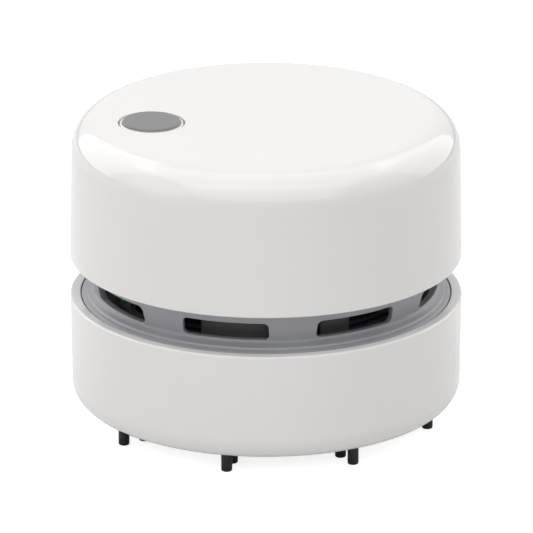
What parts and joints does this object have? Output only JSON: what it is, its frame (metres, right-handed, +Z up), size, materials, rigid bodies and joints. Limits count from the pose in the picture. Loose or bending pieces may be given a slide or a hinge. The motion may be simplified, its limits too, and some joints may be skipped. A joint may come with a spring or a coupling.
{
  "type": "desktop mini vacuum cleaner",
  "caption": "Round desktop mini vacuum: dust cup on bristle pins, slotted exhaust ring, lift-off cap with push button, fan, motor and cells inside.",
  "frame": {"origin": "centre of the footprint, on the plane of the pin tips", "axes": "+Z up along the body's axis, -X towards the push button"},
  "size_m": [0.085, 0.085, 0.069],
  "materials": {
    "white_gloss": "smooth glossy white ABS",
    "grey_plastic": "satin mid grey ABS",
    "dark_plastic": "fine matt dark grey plastic",
    "pin_black": "black nylon with a soft sheen",
    "filter_plastic": "satin light grey plastic",
    "filter_cloth": "woven nylon mesh",
    "seal_rubber": "soft dark silicone",
    "chassis_plastic": "satin off-white plastic",
    "button_grey": "fine satin silver-grey paint",
    "motor_steel": "zinc plated steel",
    "magnet_dark": "dull dark ferrite",
    "copper_wound": "enamelled copper over steel laminations",
    "bush_bronze": "sintered bronze",
    "screw_steel": "bright plated steel",
    "cell_wrap": "plain printed film over a steel can",
    "contact_nickel": "nickel plated spring steel",
    "board_green": "green solder mask on glass fibre board",
    "switch_black": "matt black nylon",
    "plunger_red": "satin red plastic"
  },
  "bodies": {
    "cup": {"dust_cup": "white_gloss", "pins_outer": "pin_black", "pins_middle": "pin_black", "pins_inner": "pin_black"},
    "filter": {"filter_mesh": "filter_cloth", "filter_frame": "filter_plastic"},
    "seal": {"cup_seal": "seal_rubber"},
    "motor_unit": {"exhaust_ring": "grey_plastic", "fan_cover": "dark_plastic", "fan_housing": "dark_plastic", "motor_magnets": "magnet_dark", "front_bush": "bush_bronze", "rear_bush": "bush_bronze", "motor_can": "motor_steel", "motor_end_cap": "chassis_plastic", "motor_terminals": "contact_nickel", "motor_screws": "screw_steel", "chassis": "chassis_plastic", "chassis_screws": "screw_steel", "cell_left": "cell_wrap", "cell_right": "cell_wrap", "battery_contacts": "contact_nickel", "battery_springs": "contact_nickel", "circuit_board": "board_green", "switch_body": "switch_black"},
    "rotor": {"impeller": "dark_plastic", "motor_shaft": "screw_steel", "armature": "copper_wound"},
    "plunger": {"switch_plunger": "plunger_red"},
    "shell": {"upper_shell": "white_gloss"},
    "button": {"button_cap": "white_gloss", "button_inlay": "button_grey"}
  },
  "joints": [
    {"name": "filter_lift", "type": "slide", "parent": "cup", "child": "filter", "axis": [0, 0, 1], "range_m": [0, 0.03]},
    {"name": "unit_lift", "type": "slide", "parent": "filter", "child": "seal", "axis": [0, 0, 1], "range_m": [0, 0.045]},
    {"name": "unit_twist", "type": "hinge", "parent": "seal", "child": "motor_unit", "pos_m": [0, 0, 0.0286], "axis": [0, 0, 1], "range_deg": [0, 18]},
    {"name": "impeller_spin", "type": "hinge", "parent": "motor_unit", "child": "rotor", "pos_m": [0, 0, 0.033], "axis": [0, 0, 1], "continuous": true},
    {"name": "plunger_press", "type": "slide", "parent": "motor_unit", "child": "plunger", "axis": [0, 0, -1], "range_m": [0, 0.0015]},
    {"name": "shell_lift", "type": "slide", "parent": "motor_unit", "child": "shell", "axis": [0, 0, 1], "range_m": [0, 0.035]},
    {"name": "button_press", "type": "slide", "parent": "shell", "child": "button", "axis": [0, 0, -1], "range_m": [0, 0.0015], "stiffness_N_per_m": 400, "springref_m": -0.0005}
  ],
  "couplings": [
    {"joint": "plunger_press", "follows": "button_press", "ratio": 1}
  ]
}
